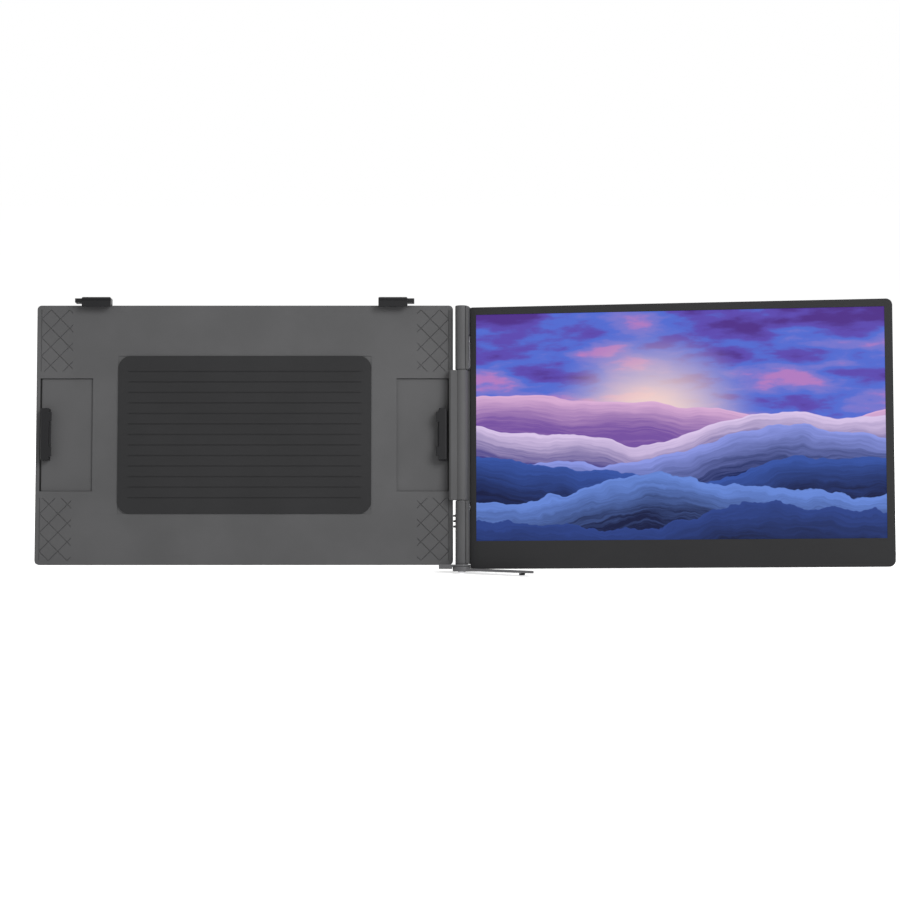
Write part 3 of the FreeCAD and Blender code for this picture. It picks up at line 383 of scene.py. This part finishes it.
MATERIALS = {
    "bracket_plastic": surface("bracket_plastic", (0.083, 0.083, 0.085), 0.54, grain=2600.0,
                               specular=0.25),
    "inner_plastic": surface("inner_plastic", (0.03, 0.03, 0.03), 0.6),
    "clip_plastic": surface("clip_plastic", (0.007, 0.007, 0.008), 0.40, grain=2600.0,
                            specular=0.22),
    "silicone": surface("silicone", (0.020, 0.020, 0.021), 0.74, rough_spread=0.05,
                        tone_spread=0.12, grain=1500.0, grain_depth=0.00005, specular=0.25),
    "steel": brushed("steel", (0.60, 0.60, 0.62), 0.28, (1.0, 1.0, 0.05)),
    "cast_alloy": surface("cast_alloy", (0.42, 0.42, 0.44), 0.45, metallic=1.0, grain=1200.0),
    "black_steel": surface("black_steel", (0.110, 0.110, 0.113), 0.44, specular=0.3),
    "bezel_plastic": surface("bezel_plastic", (0.019, 0.019, 0.020), 0.56, rough_spread=0.04,
                             tone_spread=0.05, grain=3400.0, specular=0.18),
    "shell_paint": surface("shell_paint", (0.070, 0.070, 0.074), 0.44, rough_spread=0.04,
                           tone_spread=0.05, grain=3800.0, grain_depth=0.00002),
    "screen_picture": picture(),
    "light_guide": surface("light_guide", (0.8, 0.8, 0.8), 0.3),
    "circuit_board": surface("circuit_board", (0.02, 0.12, 0.05), 0.35, coat=0.4),
    "cable_film": surface("cable_film", (0.35, 0.20, 0.05), 0.3, coat=0.5),
    "button_plastic": surface("button_plastic", (0.010, 0.010, 0.011), 0.40),
}
GOLD = brushed("gold_contacts", (0.85, 0.62, 0.25), 0.25)
BLACK_ZINC = brushed("black_zinc", (0.20, 0.20, 0.21), 0.30)

for node, thing in frame["nodes"].items():
    thing.data.materials.clear()
    thing.data.materials.append(MATERIALS[SLOT_OF[node]])


# Pieces with softened edges that stand for plain solids

# Points closer than this are one point.
WELD = 1e-6
# Copies sit this far inside their solids, so that faces that only touch don't cross.
SKIN_INSET = 0.02 * MM
# Faces that meet within this angle, in degrees, are joined before the edges are rounded.
FLAT_ANGLE = 1.0
# Edges sharper than this angle, in degrees, are rounded.
EDGE_ANGLE = 28.0
EDGE_SEGMENTS = 3


def softened(node, width):
    """A copy of a solid whose sharp edges are rounded."""
    mesh = bpy.data.meshes.new(node + "_shape")
    work = bmesh.new()
    work.from_mesh(frame["nodes"][node].data)
    bmesh.ops.remove_doubles(work, verts=work.verts, dist=WELD)
    bmesh.ops.dissolve_limit(work, angle_limit=math.radians(FLAT_ANGLE), verts=work.verts,
                             edges=work.edges)
    work.normal_update()
    for point in work.verts:
        point.co -= point.normal * SKIN_INSET
    work.to_mesh(mesh)
    work.free()
    piece = bpy.data.objects.new(node + "_body", mesh)
    bpy.context.scene.collection.objects.link(piece)
    mesh.materials.append(MATERIALS[SLOT_OF[node]])
    bevel = piece.modifiers.new("edges", "BEVEL")
    bevel.width = width
    bevel.segments = EDGE_SEGMENTS
    bevel.limit_method = "ANGLE"
    bevel.angle_limit = math.radians(EDGE_ANGLE)
    bevel.use_clamp_overlap = True
    bevel.harden_normals = False
    for face in mesh.polygons:
        face.use_smooth = True
    smooth = piece.modifiers.new("normals", "WEIGHTED_NORMAL")
    smooth.keep_sharp = False
    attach(piece, BODY_OF[node])
    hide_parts(node)


SOFT_EDGES = {
    "left_clip": 0.5 * MM, "right_clip": 0.5 * MM, "left_hook": 0.4 * MM, "right_hook": 0.4 * MM,
    "screen_bezel": 0.2 * MM, "knuckle_cover": 0.3 * MM, "stand_bracket": 0.35 * MM,
    "stand_leg": 0.5 * MM, "left_slider": 0.2 * MM, "right_slider": 0.2 * MM,
    "lid_pad": 0.2 * MM, "rear_cover": 0.2 * MM, "upper_end_cap": 0.15 * MM,
    "lower_end_cap": 0.15 * MM, "left_stem": 0.2 * MM, "right_stem": 0.2 * MM,
    "left_grip": 0.2 * MM, "right_grip": 0.2 * MM,
}
for node, width in SOFT_EDGES.items():
    softened(node, width)


# Turned pieces: screws, buttons and the foot

TURN_SIDES = 48
CREASE_ANGLE = 40.0


def islands(node):
    """The separate solids of a node, each as a list of its points."""
    work = bmesh.new()
    work.from_mesh(frame["nodes"][node].data)
    bmesh.ops.remove_doubles(work, verts=work.verts, dist=WELD)
    left = set(work.verts)
    found = []
    while left:
        edge = [left.pop()]
        group = []
        while edge:
            point = edge.pop()
            group.append(point.co.copy())
            for line in point.link_edges:
                other = line.other_vert(point)
                if other in left:
                    left.remove(other)
                    edge.append(other)
        found.append(group)
    work.free()
    return found


def across_axis(axis):
    """Two directions square to an axis and to each other."""
    first = UP if abs(axis.dot(UP)) < 0.5 else RIGHT
    first = (first - axis * first.dot(axis)).normalized()
    return first, axis.cross(first)


def end_face(points, axis, depth):
    """The points of a solid's near end, the middle of that end, and the solid's length."""
    near, far = reach(points, axis)
    end = [point for point in points if point.dot(axis) < near + depth]
    return end, sum(end, Vector()) / len(end), far - near


def widest(points, centre, axis):
    """How far some points lie from a centre, square to an axis."""
    first = across_axis(axis)[0]
    return max((point - centre).dot(first) for point in points)


def new_mesh(name, points, faces):
    """A mesh from its points and faces."""
    mesh = bpy.data.meshes.new(name)
    mesh.from_pydata(points, [], faces)
    return mesh


def finish_piece(name, node, mesh, slot=None, replace=True, material=None, smooth=True):
    """Adds a mesh as a piece of a node's body."""
    piece = bpy.data.objects.new(name, mesh)
    bpy.context.scene.collection.objects.link(piece)
    slot = slot or SLOT_OF[node]
    mesh.materials.append(material or MATERIALS[slot])
    for face in mesh.polygons:
        face.use_smooth = smooth
    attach(piece, BODY_OF[node])
    if replace:
        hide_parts(node)


def turned(points, faces, spot, axis, profile, sides=TURN_SIDES):
    """Adds a closed form turned about an axis; the profile is radius and place along it."""
    first, second = across_axis(axis)
    start = len(points)
    for radius, along in profile:
        for corner in range(sides):
            angle = 2 * math.pi * corner / sides
            run, rise = radius * math.cos(angle), radius * math.sin(angle)
            points.append(spot + first * run + second * rise + axis * along)
    rings = len(profile)
    for ring in range(rings - 1):
        for corner in range(sides):
            near, far = start + ring * sides, start + (ring + 1) * sides
            following = (corner + 1) % sides
            faces.append((near + corner, near + following, far + following, far + corner))
    faces.append(tuple(start + corner for corner in reversed(range(sides))))
    last = start + (rings - 1) * sides
    faces.append(tuple(last + corner for corner in range(sides)))


def crease(mesh):
    """Keeps hard edges sharp on a smooth shaded mesh."""
    work = bmesh.new()
    work.from_mesh(mesh)
    bmesh.ops.recalc_face_normals(work, faces=work.faces)
    for line in work.edges:
        if len(line.link_faces) == 2 and line.calc_face_angle() > math.radians(CREASE_ANGLE):
            line.smooth = False
    work.to_mesh(mesh)
    work.free()


def turned_piece(node, points, faces, material=None):
    """Puts a turned form in place of a node's plain solids."""
    mesh = new_mesh(node + "_shape", points, faces)
    crease(mesh)
    finish_piece(node + "_body", node, mesh, material=material)


HEAD_SIDES = 72
HEAD_RINGS = 18
HEAD_TALL = 1.1 * MM
HEAD_DOME = 0.22 * MM
HEAD_END_DEPTH = 0.3 * MM
# Shares of the radius of the plain head.
HEAD_RIM = 0.985
SHANK_RADIUS = 0.47
CROSS_HALF = 0.17
CROSS_REACH = 0.62
CROSS_DEPTH = 0.5 * MM


def in_cross(run, rise, radius):
    """Whether a place on a screw's end face lies in its cross recess."""
    short, long = sorted((abs(run), abs(rise)))
    return short < radius * CROSS_HALF and long < radius * CROSS_REACH


def screws(node, axis):
    """Domed heads with a cross recess in place of a node's plain screws; axis points in."""
    points, faces = [], []
    first, second = across_axis(axis)
    for group in islands(node):
        head, centre, length = end_face(group, axis, HEAD_END_DEPTH)
        radius = widest(head, centre, axis)
        shank, rim = radius * SHANK_RADIUS, radius * HEAD_RIM
        dome = [(rim * step / HEAD_RINGS, HEAD_DOME * (step / HEAD_RINGS) ** 2)
                for step in range(1, HEAD_RINGS + 1)]
        profile = dome + [(rim, HEAD_TALL), (shank, HEAD_TALL), (shank, length)]
        start = len(points)
        turned(points, faces, centre, axis, profile, HEAD_SIDES)
        for point in points[start:start + HEAD_RINGS * HEAD_SIDES]:
            step = point - centre
            if in_cross(step.dot(first), step.dot(second), radius):
                point += axis * CROSS_DEPTH
    turned_piece(node, points, faces, BLACK_ZINC)


TIP_DEPTH = 0.1 * MM
# Radius and depth, in mm, from the dish in the button's end over its soft rim to its side.
BUTTON_END = [(0.20, 0.14), (0.50, 0.09), (0.74, 0.01), (0.84, 0.01), (0.97, 0.08),
              (1.07, 0.22), (1.09, 0.40)]
BUTTON_SIDE = 1.09 * MM
FLANGE_RADIUS = 1.55 * MM
FLANGE_THICK = 0.8 * MM


def button(node):
    """A round button with a soft rim and a shallow dish in its end."""
    centre, length = end_face(islands(node)[0], ACROSS_SCREEN, TIP_DEPTH)[1:]
    seat = length - FLANGE_THICK
    profile = [(radius * MM, depth * MM) for radius, depth in BUTTON_END]
    profile += [(BUTTON_SIDE, seat), (FLANGE_RADIUS, seat), (FLANGE_RADIUS, length)]
    points, faces = [], []
    turned(points, faces, centre, ACROSS_SCREEN, profile)
    turned_piece(node, points, faces)


FOOT_RIM = 0.5 * MM
FOOT_RIM_STEPS = 4
# Share of the foot's radius where its top face starts.
FOOT_INNER = 0.3


def foot():
    """The leg's rubber foot, with a rounded rim."""
    axis = -UP
    top, centre, tall = end_face(islands("leg_foot")[0], axis, TIP_DEPTH)
    radius = widest(top, centre, axis)
    side = tall - FOOT_RIM
    profile = [(radius * FOOT_INNER, 0.0), (radius, 0.0), (radius, side)]
    for step in range(1, FOOT_RIM_STEPS + 1):
        turn = math.radians(90.0 * step / FOOT_RIM_STEPS)
        profile.append((radius - FOOT_RIM * (1 - math.cos(turn)), side + FOOT_RIM * math.sin(turn)))
    points, faces = [], []
    turned(points, faces, centre, axis, profile)
    turned_piece("leg_foot", points, faces)


screws("bracket_screws", -BACK)
screws("hinge_block_screws", -RIGHT)
for node in ("power_button", "up_button", "down_button"):
    button(node)
foot()


# Tongues and contacts inside the sockets

BAR_FACES = ((3, 2, 1, 0), (4, 5, 6, 7), (0, 1, 5, 4), (1, 2, 6, 5), (2, 3, 7, 6), (3, 0, 4, 7))
# Room between each end of the tongue and the socket's end.
TONGUE_MARGIN = 1.2 * MM
TONGUE_TAPER = 0.12 * MM
# Share of the tongue's width that the row of contacts takes.
CONTACT_ROW = 0.86
# Half length of a contact as a share of the tongue's, and half width as a share of the pitch.
CONTACT_LONG = 0.72
CONTACT_WIDE = 0.28
CONTACT_HALF_THICK = 0.03 * MM


def bar(points, faces, centre, axes, halves, taper=0.0):
    """A bar with its outer end narrowed, as a moulded tongue is."""
    start = len(points)
    for out in (-1, 1):
        shrink = taper if out > 0 else 0.0
        for side, rise in SQUARE:
            points.append(centre + axes[0] * halves[0] * out
                          + axes[1] * (halves[1] - shrink) * side
                          + axes[2] * (halves[2] - shrink) * rise)
    for quad in BAR_FACES:
        faces.append(tuple(start + corner for corner in quad))


def flat_piece(name, node, points, faces, slot, material=None):
    """Adds a flat shaded piece beside a node's own solid."""
    finish_piece(name, node, new_mesh(name + "_shape", points, faces), slot, False, material,
                 smooth=False)


def tongue(node, width, thick, contacts):
    """A socket's tongue with a row of gold contacts on both faces."""
    axes = (ACROSS_SCREEN, UP, BACK_OF_SCREEN)
    spans = [reach(points_of(node), axis) for axis in axes]
    centre = sum((axis * ((low + high) / 2) for axis, (low, high) in zip(axes, spans)), Vector())
    half = (spans[0][1] - spans[0][0]) / 2 - TONGUE_MARGIN
    points, faces = [], []
    bar(points, faces, centre, axes, (half, width / 2, thick / 2), TONGUE_TAPER)
    flat_piece(node + "_tongue", node, points, faces, "button_plastic")
    pitch = width * CONTACT_ROW / contacts
    halves = (half * CONTACT_LONG, pitch * CONTACT_WIDE, CONTACT_HALF_THICK)
    points, faces = [], []
    for number in range(contacts):
        place = (number - (contacts - 1) / 2) * pitch
        for side in (-1, 1):
            spot = centre + UP * place + BACK_OF_SCREEN * side * thick / 2
            bar(points, faces, spot, axes, halves)
    flat_piece(node + "_contacts", node, points, faces, "steel", GOLD)


# Width and thickness of each tongue, and its contacts along one face.
TONGUES = {
    "upper_usb_c_port": (6.7 * MM, 0.7 * MM, 12),
    "lower_usb_c_port": (6.7 * MM, 0.7 * MM, 12),
    "mini_hdmi_port": (8.6 * MM, 0.6 * MM, 10),
}
for node, (width, thick, contacts) in TONGUES.items():
    tongue(node, width, thick, contacts)


# Camera, light and floor

CAMERA_SPOT = (189.07 * MM, -2320.03 * MM, 241.50 * MM)
CAMERA_DOWN = 6.302
CAMERA_RIGHT = 0.137
FOCAL_PX = 2462.97
PICTURE_PX = 900.0
SENSOR = 36.0
CLIP_START = 0.05
CLIP_END = 100.0


def camera():
    """The photograph's own viewpoint, fitted to its straight edges."""
    data = bpy.data.cameras.new("camera")
    data.sensor_width = SENSOR
    data.sensor_fit = "HORIZONTAL"
    data.lens = FOCAL_PX / PICTURE_PX * SENSOR
    data.clip_start = CLIP_START
    data.clip_end = CLIP_END
    made = bpy.data.objects.new("camera", data)
    made.location = CAMERA_SPOT
    made.rotation_euler = (math.radians(90.0 - CAMERA_DOWN), 0.0, -math.radians(CAMERA_RIGHT))
    bpy.context.scene.collection.objects.link(made)
    bpy.context.scene.camera = made


def lamp(name, spot, aim, size, power):
    """A soft square lamp that faces a point."""
    data = bpy.data.lights.new(name, "AREA")
    data.size = size
    data.energy = power
    made = bpy.data.objects.new(name, data)
    made.location = spot
    made.rotation_euler = (Vector(aim) - Vector(spot)).to_track_quat("-Z", "Y").to_euler()
    bpy.context.scene.collection.objects.link(made)


AMBIENT = 0.40
FLOOR_TONE = 0.86
FLOOR_LIFT = 0.66
FLOOR_REACH = 30.0
FLOOR_GAP = 0.2 * MM
# Place, aim, side and power of each lamp, in metres and watts.
LAMPS = {
    "key": ((1.5, -1.9, 1.5), (0.2, 0.0, 0.0), 1.3, 52.0),
    "fill": ((-1.6, -1.6, 1.4), (0.0, 0.0, 0.0), 1.4, 3.5),
    "rim": ((0.2, 1.2, 1.9), (0.2, 0.0, 0.0), 1.2, 26.0),
}


def seen_directly(graph):
    """1 for rays of the camera, of mirrors and through clear things, and 0 for all other light."""
    path = graph.node("ShaderNodeLightPath")
    seen = graph.math("MAXIMUM", path.outputs["Is Camera Ray"], path.outputs["Is Glossy Ray"])
    return graph.math("MAXIMUM", seen, path.outputs["Is Transmission Ray"])


def world():
    """Even pale light, with plain white behind the object."""
    made = bpy.data.worlds.new("world")
    bpy.context.scene.world = made
    made.use_nodes = True
    graph = Graph(made.node_tree)
    back = graph.node("ShaderNodeBackground")
    back.inputs["Color"].default_value = rgba(WHITE)
    graph.feed(back.inputs["Strength"],
               graph.math("MULTIPLY_ADD", seen_directly(graph), 1.0 - AMBIENT, AMBIENT))
    graph.show("ShaderNodeOutputWorld", back)


def floor():
    """A wide pale floor just under the part, which keeps the shadow."""
    level = cad_box[0].z - FLOOR_GAP
    corners = [(FLOOR_REACH * side, FLOOR_REACH * rise, level) for side, rise in SQUARE]
    mesh = new_mesh("floor", corners, [(0, 1, 2, 3)])
    made = bpy.data.objects.new("floor", mesh)
    bpy.context.scene.collection.objects.link(made)
    material, graph = new_material("floor")
    plain = graph.node("ShaderNodeBsdfDiffuse")
    plain.inputs["Color"].default_value = rgba((FLOOR_TONE, FLOOR_TONE, FLOOR_TONE))
    lift = graph.node("ShaderNodeEmission")
    lift.inputs["Color"].default_value = rgba(WHITE)
    graph.feed(lift.inputs["Strength"], graph.math("MULTIPLY", seen_directly(graph), FLOOR_LIFT))
    both = graph.node("ShaderNodeAddShader")
    graph.feed(both.inputs[0], plain.outputs[0])
    graph.feed(both.inputs[1], lift.outputs[0])
    graph.show("ShaderNodeOutputMaterial", both)
    mesh.materials.append(material)


camera()
world()
floor()
for name, (spot, aim, size, power) in LAMPS.items():
    lamp(name, spot, aim, size, power)
bpy.context.scene.view_settings.view_transform = "Standard"
